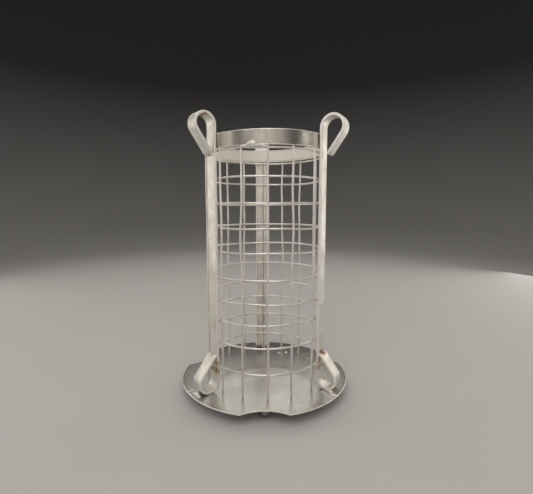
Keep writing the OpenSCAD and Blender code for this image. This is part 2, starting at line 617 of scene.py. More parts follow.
    def _heat_tint_and_shade(self) -> bpy.types.NodeTree:
        """Straw, brown and blue oxide, from how hot the metal became; the dark end of the same ramp
        also paints the shade inside the leg loops.
        """
        group, sheet, source, out = self._start(
            "heat_tint_and_shade",
            [("Heat", "NodeSocketFloat", 0), ("Place", "NodeSocketVector", 0)],
            [("Colour", "NodeSocketColor"), ("Share", "NodeSocketFloat")],
        )
        place = source.outputs["Place"]
        uneven = sheet.texture("ShaderNodeTexNoise", place, TINT_SCALE, Detail=3.0)
        shift = sheet.spread(uneven.outputs[0], 0.3, 0.7, (0.72, 1.28))
        heat_and_shade = sheet.sum("MULTIPLY", source.outputs["Heat"], shift)
        ramp = sheet.node("ShaderNodeValToRGB")
        sheet.join(heat_and_shade, ramp.inputs[0])
        stops = ramp.color_ramp.elements
        stops[0].position, stops[0].color = 0.0, (0.80, 0.70, 0.50, 1)
        stops[1].position, stops[1].color = 1.0, (0.05, 0.045, 0.05, 1)
        for place, colour in (
            (0.3, (0.58, 0.38, 0.20)),
            (0.5, (0.22, 0.11, 0.06)),
            (0.74, (0.10, 0.07, 0.07)),
        ):
            stops.new(place).color = (*colour, 1)
        sheet.join(ramp.outputs[0], out.inputs["Colour"])
        sheet.join(sheet.spread(heat_and_shade, 0.14, 0.52, (0.0, 0.95)), out.inputs["Share"])
        return group


# Finishes -----------------------------------------------------------------------------------


@dataclass(frozen=True)
class SteelFinish:
    """One way a steel surface looks.

    Attributes:
        name: the material's name.
        lay: which way it was worked.
        dark: colour in its duller patches.
        light: colour in its clean patches.
        cut: colour of its cut edges, partly real bright metal and partly painted highlight.
        edge_shade: colour of the painted shade line just inside a cut edge.
        rough: roughness from its smoothest to its roughest patch.
        line_length: length of its lines.
        line_width: width of its lines.
        line_depth: how far its lines tilt the light.
        grit_size: size of its speckle.
        grit_depth: how far its speckle tilts the light.
        speckle: how much its speckle darkens it.
        anisotropic: how far its highlights stretch across the lines.
        metallic: 1 for clean metal, less where scale and flux cover it.
        inside: colour of the side that looks at the cage's axis, if it differs; the band's is painted
            light, a pale cream for the bright reflection that face shows.
        inside_metallic: how metallic that side is made, so that its painted light reads pale and
            matt.
    """

    name: str
    lay: Lay
    dark: Colour
    light: Colour
    # Bright edge colour: partly real cut metal, partly painted highlight.
    cut: Colour = (0.93, 0.90, 0.86)
    # Painted shade: the dark line just inside each edge, where a rounded corner mirrors something
    # dark.
    edge_shade: Colour = (0.42, 0.33, 0.25)
    rough: tuple[float, float] = (0.3, 0.5)
    line_length: float = 25 * MM
    line_width: float = 0.12 * MM
    line_depth: float = 0.12
    grit_size: float = 0.35 * MM
    grit_depth: float = 0.1
    speckle: float = 0.25
    anisotropic: float = 0.0
    metallic: float = 1.0
    inside: Colour | None = None
    inside_metallic: float = 0.4

    def material(self, groups: ShaderGroups) -> bpy.types.Material:
        """Builds the material.

        Args:
            groups: the shared effects.

        Returns:
            The material.
        """
        material = bpy.data.materials.new(self.name)
        material.use_nodes = True
        material.node_tree.nodes.clear()
        sheet = Sheet(material.node_tree)
        place = self._read(sheet, "place").outputs["Vector"]
        edge = self._read(sheet, "edge").outputs["Fac"]
        heat_and_shade = self._read(sheet, "scorch_and_shade").outputs["Fac"]

        lines = self._use(sheet, groups.grain, Place=place)
        lines.inputs["Length"].default_value = self.line_length
        lines.inputs["Width"].default_value = self.line_width
        marks = self._use(sheet, groups.marks, Place=place)
        grit = self._use(sheet, groups.grit, Place=place)
        grit.inputs["Size"].default_value = self.grit_size
        cut = self._use(sheet, groups.edge_highlight_and_shade, Edge=edge, Place=place)
        tint_and_shade = self._use(sheet, groups.heat_tint_and_shade, Heat=heat_and_shade, Place=place)

        colour = sheet.blend(marks.outputs["Patches"], self.dark, self.light)
        streak = sheet.spread(lines.outputs["Lines"], 0.0, 1.0, (self._streak(), 0.0))
        colour = sheet.blend(streak, colour, self.dark)
        # Painted light: the side facing the cage's axis is blended to a pale cream, less metallic and
        # rougher, for the bright reflection it shows.
        if self.inside:
            parts = sheet.node("ShaderNodeSeparateXYZ")
            sheet.join(place, parts.inputs[0])
            inward = sheet.spread(parts.outputs[2], -0.2 * MM, -0.4 * MM, (0.0, 0.9))
            colour = sheet.blend(inward, colour, self.inside)
        specks = sheet.sum("MULTIPLY", grit.outputs["Speckle"], self.speckle)
        colour = sheet.blend(specks, colour, self.dark)
        # Painted shade line just inside each edge, then the edge itself, partly real cut metal and
        # partly painted highlight.
        colour = sheet.blend(sheet.sum("MULTIPLY", cut.outputs["Shade_line"], 0.85), colour, self.edge_shade)
        colour = sheet.blend(cut.outputs["Bright"], colour, self.cut)
        # Heat tint from welding; the same ramp lays the painted shade inside the leg loops.
        colour = sheet.blend(tint_and_shade.outputs["Share"], colour, tint_and_shade.outputs["Colour"])

        worn = sheet.sum("MULTIPLY", lines.outputs["Lines"], marks.outputs["Patches"])
        worn = sheet.sum("SUBTRACT", worn, sheet.sum("MULTIPLY", marks.outputs["Spots"], 0.3))
        rough = sheet.spread(worn, 0.0, 1.0, (self.rough[1], self.rough[0]))
        rough = sheet.sum("ADD", rough, sheet.sum("MULTIPLY", cut.outputs["Bright"], 0.2))
        if self.inside:
            rough = sheet.sum("ADD", rough, sheet.sum("MULTIPLY", inward, 0.26))

        bumps = sheet.sum("MULTIPLY", lines.outputs["Height"], self.line_depth)
        bumps = sheet.sum(
            "ADD", bumps, sheet.sum("MULTIPLY", grit.outputs["Height"], self.grit_depth)
        )
        bump = sheet.node("ShaderNodeBump")
        bump.inputs["Strength"].default_value = 0.35
        bump.inputs["Distance"].default_value = 0.1 * MM
        sheet.join(bumps, bump.inputs["Height"])

        steel = sheet.node("ShaderNodeBsdfPrincipled")
        steel.inputs["Metallic"].default_value = self.metallic
        steel.inputs["Anisotropic"].default_value = self.anisotropic
        # Less metallic on the band's inner face, part of its painted light.
        if self.inside:
            metal = sheet.spread(inward, 0.0, 1.0, (self.metallic, self.inside_metallic))
            sheet.join(metal, steel.inputs["Metallic"])
        sheet.join(colour, steel.inputs["Base Color"])
        sheet.join(rough, steel.inputs["Roughness"])
        sheet.join(bump.outputs[0], steel.inputs["Normal"])
        if self.anisotropic:
            tangent = sheet.node("ShaderNodeTangent", direction_type="UV_MAP", uv_map="lay")
            sheet.join(tangent.outputs[0], steel.inputs["Tangent"])
        output = sheet.node("ShaderNodeOutputMaterial")
        sheet.join(steel.outputs[0], output.inputs[0])
        return material

    def _streak(self) -> float:
        """How much the lines darken the colour."""
        return {Lay.BRUSHED: 0.35, Lay.DRAWN: 0.2, Lay.CAST: 0.0}[self.lay]

    @staticmethod
    def _read(sheet: Sheet, name: str) -> bpy.types.Node:
        """Reads one of the attributes that stamp() writes."""
        return sheet.node("ShaderNodeAttribute", attribute_name=name)

    @staticmethod
    def _use(
        sheet: Sheet, group: bpy.types.NodeTree, **inputs: bpy.types.NodeSocket
    ) -> bpy.types.Node:
        """Places a shared group.

        Args:
            sheet: the material's sheet.
            group: the group.
            inputs: what feeds its inputs, by name.

        Returns:
            The group node.
        """
        made = sheet.node("ShaderNodeGroup", node_tree=group)
        for name, source in inputs.items():
            sheet.join(source, made.inputs[name])
        return made


PLATE_STEEL = SteelFinish(
    name="brushed_plate",
    lay=Lay.BRUSHED,
    dark=(0.47, 0.46, 0.43),
    light=(0.53, 0.52, 0.49),
    # Bright rim: partly real cut metal, partly painted highlight.
    cut=(0.98, 0.95, 0.93),
    rough=(0.22, 0.27),
    line_length=60 * MM,
    line_width=0.3 * MM,
    line_depth=0.05,
    speckle=0.12,
    grit_depth=0.03,
    anisotropic=0.75,
)
BAND_STEEL = SteelFinish(
    name="rolled_band",
    lay=Lay.BRUSHED,
    dark=(0.42, 0.39, 0.35),
    light=(0.62, 0.59, 0.54),
    rough=(0.26, 0.38),
    line_length=18 * MM,
    line_depth=0.10,
    speckle=0.4,
    # Painted light: a pale cream inner face for the bright reflection seen on it.
    inside=(0.95, 0.91, 0.84),
)
BAR_STEEL = SteelFinish(
    name="bent_bar",
    lay=Lay.BRUSHED,
    dark=(0.66, 0.64, 0.58),
    light=(0.93, 0.91, 0.85),
    rough=(0.36, 0.52),
    line_depth=0.10,
    speckle=0.3,
)
WIRE_STEEL = SteelFinish(
    name="drawn_wire",
    lay=Lay.DRAWN,
    dark=(0.72, 0.68, 0.63),
    light=(0.97, 0.93, 0.90),
    rough=(0.34, 0.5),
    line_length=6 * MM,
    line_width=0.15 * MM,
    line_depth=0.08,
    grit_size=0.25 * MM,
    speckle=0.25,
)
WELD_STEEL = SteelFinish(
    name="weld_bead",
    lay=Lay.CAST,
    dark=(0.70, 0.66, 0.60),
    light=(0.97, 0.95, 0.92),
    rough=(0.26, 0.5),
    line_depth=0.0,
    grit_size=0.3 * MM,
    grit_depth=0.5,
    speckle=0.3,
    metallic=0.55,
)
# Painted shade: the base colour is far darker than steel, standing in for the shade under the plate
# and the dark things the balls mirror.
BALL_STEEL_PAINTED_DARK = SteelFinish(
    name="bearing_ball",
    lay=Lay.CAST,
    dark=(0.16, 0.15, 0.145),
    light=(0.30, 0.28, 0.27),
    rough=(0.05, 0.14),
    line_depth=0.0,
    grit_depth=0.03,
    speckle=0.1,
)


class Workshop:
    """What every sub-assembly needs: the finishes, the heat that welding left and the painted shade
    carried with it.
    """

    def __init__(self) -> None:
        """Builds the shared groups and one material for each slot."""
        groups = ShaderGroups()
        self.heat_and_shade = HeatMap()
        self.steel = {
            Slot.PLATE: PLATE_STEEL.material(groups),
            Slot.BAND: BAND_STEEL.material(groups),
            Slot.LEG: BAR_STEEL.material(groups),
            Slot.WIRE: WIRE_STEEL.material(groups),
            Slot.WELD: WELD_STEEL.material(groups),
            Slot.BALL: BALL_STEEL_PAINTED_DARK.material(groups),
        }

    def finish(self, piece: bpy.types.Object, slot: Slot, *stands_for: str) -> None:
        """Gives a finished piece its steel, its body and the CAD nodes it stands for.

        Args:
            piece: the piece.
            slot: the record's slot it takes its finish from.
            stands_for: CAD nodes that it replaces.
        """
        piece.data.materials.clear()
        piece.data.materials.append(self.steel[slot])
        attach(piece, BODY)
        if stands_for:
            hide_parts(*stands_for)
        faces = len(piece.data.polygons)
        LOG.info("%s: %d faces, stands for %s", piece.name, faces, stands_for or "-")


# Flat bar -----------------------------------------------------------------------------------


@dataclass(frozen=True)
class BarSection:
    """The cross-section of the flat bar, with its sheared edges slightly rounded.

    Attributes:
        width: across the bar.
        thickness: through it.
        corner: radius of its edges.
        line_in: how far inside the edge the painted shade line lies.
        corner_steps: steps round each edge.
    """

    width: float
    thickness: float
    corner: float = 0.28 * MM
    line_in: float = 0.42 * MM
    corner_steps: int = 4

    def outline(self) -> list[tuple[float, float, float]]:
        """Walks round the section.

        Returns:
            Across, through and edge value of each point.
        """
        a = self.width / 2 - self.corner
        b = self.thickness / 2 - self.corner
        # Edge values across a broad face: its rim takes the bright edge, partly painted highlight,
        # and the ring at line_in takes the painted shade line.
        face = [
            (-a, 0.72),
            (-a + self.line_in, 0.42),
            (-a + 2 * self.line_in, 0.0),
            (-a / 3, 0.0),
            (a / 3, 0.0),
            (a - 2 * self.line_in, 0.0),
            (a - self.line_in, 0.42),
            (a, 0.72),
        ]
        turns = [math.radians(90 * i / self.corner_steps) for i in range(1, self.corner_steps)]
        upper = [(a + self.corner * math.sin(t), b + self.corner * math.cos(t), 1.0) for t in turns]
        narrow = [(self.width / 2, y, 0.8 if y == 0 else 0.95) for y in (b, 0.0, -b)]
        lower = [(x, -y, edge) for x, y, edge in reversed(upper)]
        half = [(x, self.thickness / 2, edge) for x, edge in face] + upper + narrow + lower
        return [(side * x, side * y, edge) for side in (1, -1) for x, y, edge in half]

    def shrunk(self) -> list[tuple[float, float, float]]:
        """The same outline drawn in by the corner radius, for a rounded end."""
        keep_w = 1 - 2 * self.corner / self.width
        keep_t = 1 - 2 * self.corner / self.thickness
        return [(x * keep_w, y * keep_t, 1.0) for x, y, _ in self.outline()]


@dataclass(frozen=True)
class Loop:
    """One bent end of a leg, in the leg's own plane.

    Attributes:
        head: outer radius of the bend.
        lean: angle of the tail from the leg.
        tip_gap: space between the tail's end and the leg.
        tail_steps: rings along the tail.
        bend_steps: rings round the bend.
    """

    head: float
    lean: float
    tip_gap: float
    tail_steps: int = 14
    bend_steps: int = 44

    def tail(self, thickness: float) -> float:
        """Length of the tail for a bar of that thickness."""
        lean = math.radians(self.lean)
        inside = self.head - thickness
        return (self.head + inside * math.cos(lean) - thickness - self.tip_gap) / math.sin(lean)

    def line(self, thickness: float, height: float) -> list[tuple[Vector, Vector]]:
        """The bar's middle line from the tail's end, over the bend, to the leg.

        Args:
            thickness: the bar's thickness.
            height: how far up the centre of the bend lies.

        Returns:
            Points with the direction out of the loop, as (out from the leg's inner face, up).
        """
        lean = math.radians(self.lean)
        centre = Vector((self.head, height))
        middle = self.head - thickness / 2
        out = Vector((math.cos(lean), -math.sin(lean)))
        down = Vector((-math.sin(lean), -math.cos(lean)))
        start = centre + middle * out
        length = self.tail(thickness)
        steps = self.tail_steps
        line = [(start + down * length * (1 - i / steps), out) for i in range(steps)]
        for i in range(self.bend_steps + 1):
            a = -lean + (math.pi + lean) * i / self.bend_steps
            way = Vector((math.cos(a), math.sin(a)))
            line.append((centre + middle * way, way))
        return line


@dataclass
class Leg:
    """One leg: a single flat bar with a handle loop above and a foot loop below.

    Attributes:
        node: its CAD node.
        handle: the loop above.
        foot: the loop below.
        section: the bar.
        seed: picks its small bends.
        straight_steps: rings along the straight between the loops.
    """

    node: str
    handle: Loop
    foot: Loop
    section: BarSection
    seed: int
    straight_steps: int = 70

    def __post_init__(self) -> None:
        """Takes the leg's plane and height from the frame."""
        middle = middle_of(self.node)
        self.azimuth = azimuth_of(middle)
        way = polar(1, self.azimuth, 0)
        self.inner = min(v.co.dot(way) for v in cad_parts[self.node].data.vertices)
        low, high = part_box(self.node)
        self.bottom, self.top = low.z, high.z

    def place(self, out: float, up: float, across: float = 0.0) -> Vector:
        """A point of the leg's plane in the frame.

        Args:
            out: distance from the leg's inner face.
            up: height above the leg's lowest point.
            across: distance sideways, towards growing azimuth.

        Returns:
            The point.
        """
        way = polar(1, self.azimuth, 0)
        side = polar(1, self.azimuth + 90, 0)
        return way * (self.inner + out) + side * across + Vector((0, 0, self.bottom + up))

    def tip(self, loop: Loop) -> tuple[float, float]:
        """Where a loop's tail ends.

        Args:
            loop: the handle or the foot.

        Returns:
            Out from the inner face, and how far up or down from the bend's centre.
        """
        lean = math.radians(loop.lean)
        inside = loop.head - self.section.thickness
        drop = inside * math.sin(lean) + loop.tail(self.section.thickness) * math.cos(lean)
        return self.section.thickness + loop.tip_gap, drop

    def handle_tip(self) -> Vector:
        """The end of the handle loop, beside the leg."""
        out, drop = self.tip(self.handle)
        return self.place(out, self.top - self.bottom - self.handle.head - drop)

    def foot_tip(self) -> Vector:
        """The end of the foot loop, beside the leg."""
        out, drop = self.tip(self.foot)
        return self.place(out, self.foot.head + drop)

    def middle_line(self) -> list[tuple[Vector, Vector]]:
        """The whole bar's middle line, from the handle's end to the foot's."""
        t = self.section.thickness
        rise = self.top - self.bottom - self.handle.head
        above = self.handle.line(t, rise)
        below = [
            (Vector((p.x, self.foot.head * 2 - p.y)), Vector((n.x, -n.y)))
            for p, n in reversed(self.foot.line(t, self.foot.head))
        ]
        straight = [
            (above[-1][0].lerp(below[0][0], i / self.straight_steps), Vector((-1.0, 0.0)))
            for i in range(1, self.straight_steps)
        ]
        return above + straight + below

    def build(self, shop: Workshop) -> None:
        """Sweeps the bar along its line.

        Args:
            shop: finishes and heat.
        """
        skin = Skin()
        line = self.middle_line()
        bow = Sway(0.12 * MM, 4, self.seed)
        along = 0.0
        rings: list[list[int]] = []
        for i, (point, normal) in enumerate(line):
            if i:
                along += (point - line[i - 1][0]).length
            share = math.pi * i / len(line)
            side = bow.at(share) * math.sin(share)
            ends = i in (0, len(line) - 1)
            outline = self.section.shrunk() if ends else self.section.outline()
            rows = []
            for across, through, edge in outline:
                flat = point + normal * through
                place = Vector((along, across, through + self.seed))
                rows.append((self.place(flat.x, flat.y, across + side), place, edge))
            rings.append(skin.ring(rows))
        skin.tube(rings)
        shop.finish(skin.build(f"{self.node}_bar", shop.heat_and_shade), Slot.LEG, self.node)


@dataclass
class TopBand:
    """The flat bar rolled round the cage's mouth, which leans a little.

    Attributes:
        section: the bar.
        tilt: how far it leans, right side high, in degrees.
        steps: rings round it.
    """

    section: BarSection
    tilt: float = 0.9
    steps: int = 240
    node: str = "top_band"

    def __post_init__(self) -> None:
        """Takes the band's radius and height from the frame."""
        low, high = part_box(self.node)
        self.outer = (high.y - low.y) / 2
        self.foot = low.z + self.outer * math.sin(math.radians(self.tilt))

    def under(self, azimuth: float) -> float:
        """Height of the band's lower edge at an azimuth."""
        return self.foot + self.outer * math.sin(math.radians(azimuth)) * math.tan(
            math.radians(self.tilt)
        )

    def build(self, shop: Workshop) -> None:
        """Rolls the bar into a ring.

        Args:
            shop: finishes and heat.
        """
        skin = Skin()
        lean = Matrix.Rotation(-math.radians(self.tilt), 4, "Y")
        lift = Vector((0, 0, self.foot))
        radius = self.outer - self.section.thickness / 2
        round_out = Sway(0.03 * MM, 6, 5)
        rings = []
        for i in range(self.steps):
            azimuth = 360 * i / self.steps
            turn = math.radians(azimuth)
            rows = []
            for across, through, edge in self.section.outline():
                flat = polar(radius + through + round_out.at(turn), azimuth, 0)
                flat.z = self.section.width / 2 + across
                place = Vector((radius * turn, across, through))
                rows.append((lean @ flat + lift, place, edge))
            rings.append(skin.ring(rows))
        for i, ring in enumerate(rings):
            skin.bridge(ring, rings[(i + 1) % self.steps])
        shop.finish(skin.build("rolled_top_band", shop.heat_and_shade), Slot.BAND, self.node)


# Base plate ---------------------------------------------------------------------------------


@dataclass
class BasePlate:
    """The round plate with three scallops in its rim.

    Attributes:
        scallop_radius: radius of the cutter.
        scallops: azimuth and depth of each scallop.
        lip: rounding of the rim's edges.
        rings: rings from the centre to the rim.
        steps: steps round the rim.
        lip_steps: steps round each of the rim's edges.
    """

    scallop_radius: float = 23 * MM
    scallops: tuple[tuple[float, float], ...] = (
        (0, 5 * MM),
        (-118, 7 * MM),
        (119, 5 * MM),
    )
    lip: float = 0.18 * MM
    rings: int = 56
    steps: int = 540
    lip_steps: int = 4
    node: str = "base_plate"

    def __post_init__(self) -> None:
        """Takes the plate's place and radius from the frame."""
        low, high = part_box(self.node)
        self.bottom, self.top = low.z, high.z
        self.radius = high.y
        self.centre_x = low.x + self.radius

    def rim(self, azimuth: float) -> float:
        """Distance from the plate's centre to its rim.

        Args:
            azimuth: degrees, about the plate's own centre.

        Returns:
            The distance, less where a scallop cuts in.
        """
        reach = self.radius
        way = polar(1, azimuth, 0)
        for at, depth in self.scallops:
            centre = polar(self.radius - depth + self.scallop_radius, at, 0)
            centre.x -= self.centre_x
            along = centre.dot(way)
            aside = centre.length_squared - along * along
            if along > 0 and aside < self.scallop_radius**2:
                reach = min(reach, along - math.sqrt(self.scallop_radius**2 - aside))
        return reach

    def build(self, shop: Workshop) -> None:
        """Builds the plate as rings that follow its rim.

        Args:
            shop: finishes and heat.
        """
        skin = Skin()
        azimuths = [360 * i / self.steps for i in range(self.steps)]
        reaches = [self.rim(a) for a in azimuths]
        sheet = [(i / self.rings, self.top, 0.0) for i in range(1, self.rings)]
        lip = []
        for i in range(self.lip_steps + 1):
            t = math.radians(90 * i / self.lip_steps)
            lip.append((math.sin(t), math.cos(t)))
        profile = [(share, 0.0, z, edge) for share, z, edge in sheet]
        # The rim's rounded lip takes the bright edge, partly real cut metal and partly painted
        # highlight.
        profile += [
            (1.0, -self.lip * (1 - s), self.top - self.lip * (1 - c), 0.75 + 0.25 * s) for s, c in lip
        ]
        profile += [
            (1.0, -self.lip * (1 - s), self.bottom + self.lip * (1 - c), 0.75 + 0.25 * s)
            for s, c in reversed(lip)
        ]
        profile += [(share, 0.0, self.bottom, edge) for share, _, edge in reversed(sheet)]
        rings = []
        for share, inset, z, edge in profile:
            rows = []
            for azimuth, reach in zip(azimuths, reaches):
                point = polar(reach * share + inset, azimuth, z)
                point.x += self.centre_x
                rows.append((point, point.copy(), edge))
            rings.append(skin.ring(rows))
        for inner, outer in zip(rings, rings[1:]):
            skin.bridge(inner, outer)
        for ring, z in ((rings[0], self.top), (rings[-1], self.bottom)):
            middle = Vector((self.centre_x, 0, z))
            hub = skin.ring([(middle, middle.copy(), 0.0)])[0]
            for i, vertex in enumerate(ring):
                skin.faces.append((hub, vertex, ring[(i + 1) % self.steps]))
        piece = skin.build("scalloped_base_plate", shop.heat_and_shade)
        self._lay_lines(piece)
        shop.finish(piece, Slot.PLATE, self.node)

    def _lay_lines(self, piece: bpy.types.Object) -> None:
        """Gives the plate the map that its brushed highlights stretch by."""
        uv = piece.data.uv_layers.new(name="lay")
        for corner in piece.data.loops:
            point = piece.data.vertices[corner.vertex_index].co
            uv.data[corner.index].uv = (point.x * LAY_SCALE, point.y * LAY_SCALE)


# Mesh cage ----------------------------------------------------------------------------------


def draw_wire(
    shop: Workshop, node: str, line: list[Vector], radius: float, seed: int
) -> None:
    """Sweeps a round wire along a line, with slightly rounded cut ends.

    Args:
        shop: finishes and heat.
        node: the CAD node that it stands for.
        line: points along the wire's middle.
        radius: the wire's radius.
        seed: moves its surface pattern, so that no two wires look alike.
    """
    skin = Skin()
    up = Vector((0, 0, 1))
    if abs((line[1] - line[0]).normalized().z) > 0.9:
        up = line[0].normalized()
    rings = []
    along = 0.0
    last = len(line) - 1
    for i, point in enumerate(line):
        ahead = (line[min(i + 1, last)] - line[max(i - 1, 0)]).normalized()
        side = ahead.cross(up).normalized()
        top = side.cross(ahead)
        if i:
            along += (point - line[i - 1]).length
        # Cut ends take the bright edge, partly real cut metal and partly painted highlight.
        share, edge = (WIRE_END_SHARE, 1.0) if i in (0, last) else (1.0, 0.0)
        rows = []
        for k in range(WIRE_SIDES):
            t = 2 * math.pi * k / WIRE_SIDES
            way = side * math.cos(t) + top * math.sin(t)
            place = Vector((along, radius * t, seed * 0.1))
            rows.append((point + way * radius * share, place, edge))
        rings.append(skin.ring(rows))
    skin.tube(rings)
    shop.finish(skin.build(f"{node}_drawn", shop.heat_and_shade), Slot.WIRE, node)


@dataclass
class Hoop:
    """One hoop wire, an open ring whose ends meet at the rear seam.

    Attributes:
        node: its CAD node.
        seam: azimuth of the seam.
        gap: space between its ends.
        number: counts from the top.
        steps: rings along it.
    """

    node: str
    seam: float
    gap: float
    number: int
    steps: int = 200

    def __post_init__(self) -> None:
        """Takes the hoop's height and radii from the frame."""
        low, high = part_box(self.node)
        self.height = (low.z + high.z) / 2
        self.wire = (high.z - low.z) / 2
        self.radius = high.x - self.wire
        self.wander = Sway(0.16 * MM, 6, 40 + self.number)

    def height_at(self, azimuth: float) -> float:
        """The wire's height at an azimuth."""
        return self.height + self.wander.at(math.radians(azimuth))

    def build(self, shop: Workshop) -> None:
        """Draws the hoop.

        Args:
            shop: finishes and heat.
        """
        end = math.degrees(self.gap / self.radius)
        line = []
        for i in range(self.steps + 1):
            azimuth = self.seam + end / 2 + (360 - end) * i / self.steps
            line.append(polar(self.radius, azimuth, self.height_at(azimuth)))
        draw_wire(shop, self.node, line, self.wire, self.number)


@dataclass
class Upright:
    """One upright wire, which waves a little from crossing to crossing.

    Attributes:
        node: its CAD node.
        number: counts round from the front.
        loose: how far it waves.
        steps: rings along it.
    """

    node: str
    number: int
    loose: float
    steps: int = 84

    def __post_init__(self) -> None:
        """Takes the wire's place from the frame."""
        low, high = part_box(self.node)
        middle = (low + high) / 2
        self.azimuth = azimuth_of(middle)
        self.wire = (high.x - low.x) / 2
        self.radius = math.hypot(middle.x, middle.y)
        self.bottom, self.top = low.z, high.z
        self.wander = Sway(self.loose, 7, 70 + self.number)

    def azimuth_at(self, z: float) -> float:
        """The wire's azimuth at a height."""
        share = (z - self.bottom) / (self.top - self.bottom)
        held = smooth_step(4 * share) * smooth_step(6 * (1 - share))
        return self.azimuth + math.degrees(held * self.wander.at(math.pi * share) / self.radius)

    def build(self, shop: Workshop) -> None:
        """Draws the wire.

        Args:
            shop: finishes and heat.
        """
        line = []
        for i in range(self.steps + 1):
            z = self.bottom + (self.top - self.bottom) * i / self.steps
            line.append(polar(self.radius, self.azimuth_at(z), z))
        draw_wire(shop, self.node, line, self.wire, 20 + self.number)


@dataclass
class MeshCage:
    """The rolled welded mesh: hoops, uprights and the small nuggets where they cross.

    Attributes:
        seam_gap: space between the wires' ends at the rear seam.
        loose: how far the uprights wave.
        seam_loose: how far the two that lie side by side at the seam wave.
        seam_reach: how near each other those two lie.
        nugget: how far a crossing's weld reaches round and up.
    """

    seam_gap: float = 0.3 * MM
    loose: float = 0.33 * MM
    seam_loose: float = 0.05 * MM
    seam_reach: float = 6 * MM
    nugget: float = 0.66 * MM

    def __post_init__(self) -> None:
        """Reads every wire from the frame."""
        names = nodes_named("upright_wire")
        last = middle_of(names[-1])
        seam_azimuth = azimuth_of(last)
        self.uprights = []
        for i, name in enumerate(names):
            beside_seam = (middle_of(name) - last).length < self.seam_reach
            loose = self.seam_loose if beside_seam else self.loose
            self.uprights.append(Upright(name, i + 1, loose))
            if beside_seam and name != names[-1]:
                seam_azimuth = azimuth_of((middle_of(name) + last) / 2)
        self.hoops = [
            Hoop(name, seam_azimuth, self.seam_gap, i + 1)
            for i, name in enumerate(nodes_named("hoop_wire"))
        ]

    def crossings(self) -> list[tuple[Vector, int]]:
        """Where each hoop meets each upright.

        Returns:
            The points between the two wires, each with a number of its own.
        """
        places = []
        for hoop in self.hoops:
            for upright in self.uprights:
                azimuth = upright.azimuth_at(hoop.height)
                radius = (hoop.radius + upright.radius) / 2
                number = hoop.number * 100 + upright.number
                places.append((polar(radius, azimuth, hoop.height_at(azimuth)), number))
        return places

    def warm(self, heat_and_shade: HeatMap) -> None:
        """Notes the heat at the crossings, and the heat tint with painted contact shade where the
        uprights meet the plate.
        """
        for point, number in self.crossings():
            draw = random.Random(number)
            heat_and_shade.add(point, 0.9 * MM, max(0.0, draw.uniform(-0.2, 0.3)))
        for upright in self.uprights:
            # Where an upright stands on the plate: heat tint, with painted contact shade round the
            # wire's foot.
            foot = polar(upright.radius, upright.azimuth_at(upright.bottom), upright.bottom)
            heat_and_shade.add(foot, 0.9 * MM, 0.4)

    def build(self, shop: Workshop) -> None:
        """Draws every wire and the nuggets.

        Args:
            shop: finishes and heat.
        """
        for hoop in self.hoops:
            hoop.build(shop)
        for upright in self.uprights:
            upright.build(shop)
        self._nuggets(shop)

    def _nuggets(self, shop: Workshop) -> None:
        """Squeezes a small weld into each crossing."""
        shapes = []
        for point, number in self.crossings():
            size = self.nugget * random.Random(number).uniform(0.85, 1.15)
            turn = Matrix.Rotation(math.radians(azimuth_of(point)), 4, "Z")
            shape = Matrix.Diagonal((size, 0.6 * size, size, 1))
            shapes.append(Matrix.Translation(point) @ turn @ shape)
        mesh = lumps("crossing_nuggets", shapes, 2)
        stamp_plain(mesh, shop.heat_and_shade)
        shop.finish(show("crossing_nuggets", mesh), Slot.WIRE)


# Welds --------------------------------------------------------------------------------------


@dataclass(frozen=True)
class Blob:
    """A rounded mass of weld metal, placed out, round and up from its weld's origin.

    Attributes:
        at: its centre.
        size: its half-sizes.
    """

    at: tuple[float, float, float]
    size: tuple[float, float, float]


